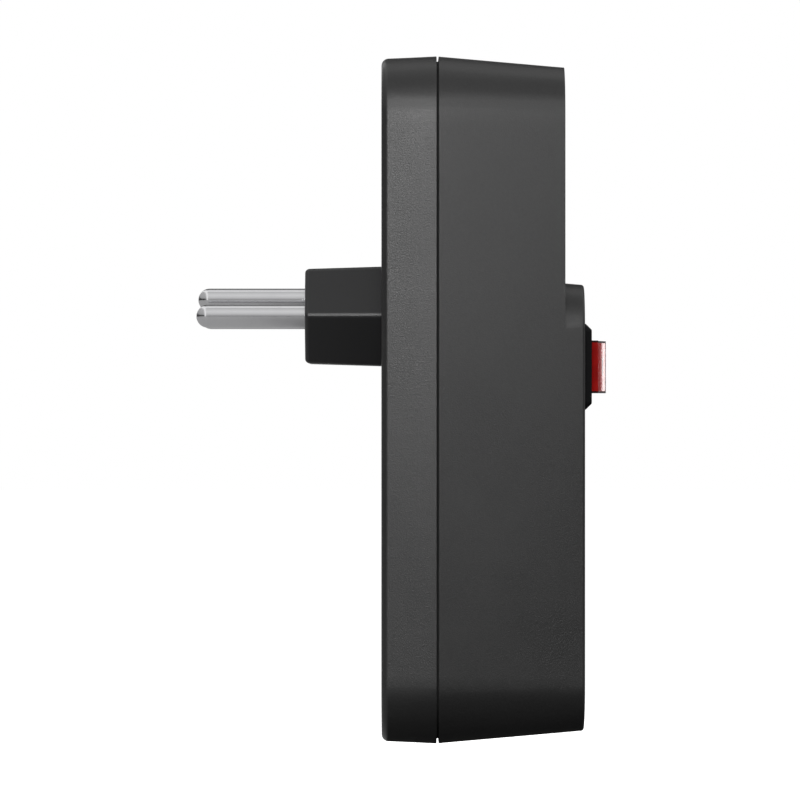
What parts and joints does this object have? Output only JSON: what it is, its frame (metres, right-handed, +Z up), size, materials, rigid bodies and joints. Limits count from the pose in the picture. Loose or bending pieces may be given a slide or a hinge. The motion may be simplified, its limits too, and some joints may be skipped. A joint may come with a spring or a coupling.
{
  "type": "double socket usb adapter",
  "caption": "Plug-in adapter that turns a wall socket into a pair of switched sockets with charging ports.",
  "frame": {"origin": "middle of the plug's face, between its two power pins", "axes": "+Y along the pins into the wall, -Y towards the user, +Z up, +X to the right as the user sees it"},
  "size_m": [0.052, 0.072, 0.119],
  "materials": {
    "shell_plastic": "fine matte grain",
    "plug_plastic": "satin",
    "rim_plastic": "semi-gloss",
    "rocker_lens": "clear red, polished",
    "pin_nickel": "nickel plated",
    "contact_brass": "bright",
    "screw_steel": "zinc plated",
    "spring_steel": "bright",
    "carrier_plastic": "natural white",
    "port_steel": "nickel plated",
    "port_black": "satin",
    "board_laminate": "solder mask",
    "ferrite": "dull",
    "winding_tape": "polyester tape",
    "can_sleeve": "shrink sleeve",
    "chip_epoxy": "moulded",
    "disc_blue": "dipped",
    "fuse_green": "painted",
    "resistor_tan": "painted",
    "lamp_glass": "clear",
    "wire_brown": "extruded",
    "wire_blue": "extruded"
  },
  "bodies": {
    "housing": {"front_housing": "shell_plastic", "rear_cover": "shell_plastic", "housing_screws": "screw_steel", "plug_block": "plug_plastic", "line_pin": "pin_nickel", "neutral_pin": "pin_nickel", "earth_pin": "pin_nickel", "upper_well": "shell_plastic", "lower_well": "shell_plastic", "upper_shutter_spring": "spring_steel", "lower_shutter_spring": "spring_steel", "upper_carrier": "carrier_plastic", "lower_carrier": "carrier_plastic", "carrier_screws": "screw_steel", "upper_line_clip": "contact_brass", "upper_neutral_clip": "contact_brass", "upper_earth_clip": "contact_brass", "lower_line_clip": "contact_brass", "lower_neutral_clip": "contact_brass", "lower_earth_clip": "contact_brass", "line_busbar": "contact_brass", "neutral_busbar": "contact_brass", "earth_busbar": "contact_brass", "live_strip": "contact_brass", "switched_link": "contact_brass", "switch_body": "rim_plastic", "supply_terminal": "contact_brass", "load_terminal": "contact_brass", "lamp_terminal": "contact_brass", "switch_lamp": "lamp_glass", "lamp_resistor": "resistor_tan", "usb_board": "board_laminate", "board_screws": "screw_steel", "usb_left_shell": "port_steel", "usb_right_shell": "port_steel", "usb_left_insert": "port_black", "usb_right_insert": "port_black", "usb_left_contacts": "contact_brass", "usb_right_contacts": "contact_brass", "transformer_core": "ferrite", "transformer_winding": "winding_tape", "input_capacitor": "can_sleeve", "output_capacitor": "can_sleeve", "bridge_rectifier": "chip_epoxy", "controller_chip": "chip_epoxy", "fuse_resistor": "fuse_green", "safety_capacitor": "disc_blue", "usb_line_wire": "wire_brown", "usb_neutral_wire": "wire_blue", "lamp_wire": "wire_blue"},
    "rocker": {"rocker": "rocker_lens", "plunger": "spring_steel", "plunger_spring": "spring_steel"},
    "contact_bar": {"contact_bar": "contact_brass"},
    "upper_shutter": {"upper_shutter": "carrier_plastic"},
    "lower_shutter": {"lower_shutter": "carrier_plastic"}
  },
  "joints": [
    {"name": "rocker_tilt", "type": "hinge", "parent": "housing", "child": "rocker", "pos_m": [0, -0.047, -0.0088], "axis": [0, 0, 1], "range_deg": [0, 15]},
    {"name": "contact_tilt", "type": "hinge", "parent": "housing", "child": "contact_bar", "pos_m": [0, -0.038, -0.0088], "axis": [0, 0, 1], "range_deg": [-15, 0]},
    {"name": "upper_shutter_slide", "type": "slide", "parent": "housing", "child": "upper_shutter", "axis": [0, 0, -1], "range_m": [0, 0.0045], "stiffness_N_per_m": 150, "springref_m": -0.004, "deforming": ["upper_shutter_spring"]},
    {"name": "lower_shutter_slide", "type": "slide", "parent": "housing", "child": "lower_shutter", "axis": [0, 0, -1], "range_m": [0, 0.0045], "stiffness_N_per_m": 150, "springref_m": -0.004, "deforming": ["lower_shutter_spring"]}
  ],
  "couplings": [
    {"joint": "contact_tilt", "follows": "rocker_tilt", "ratio": -1}
  ]
}
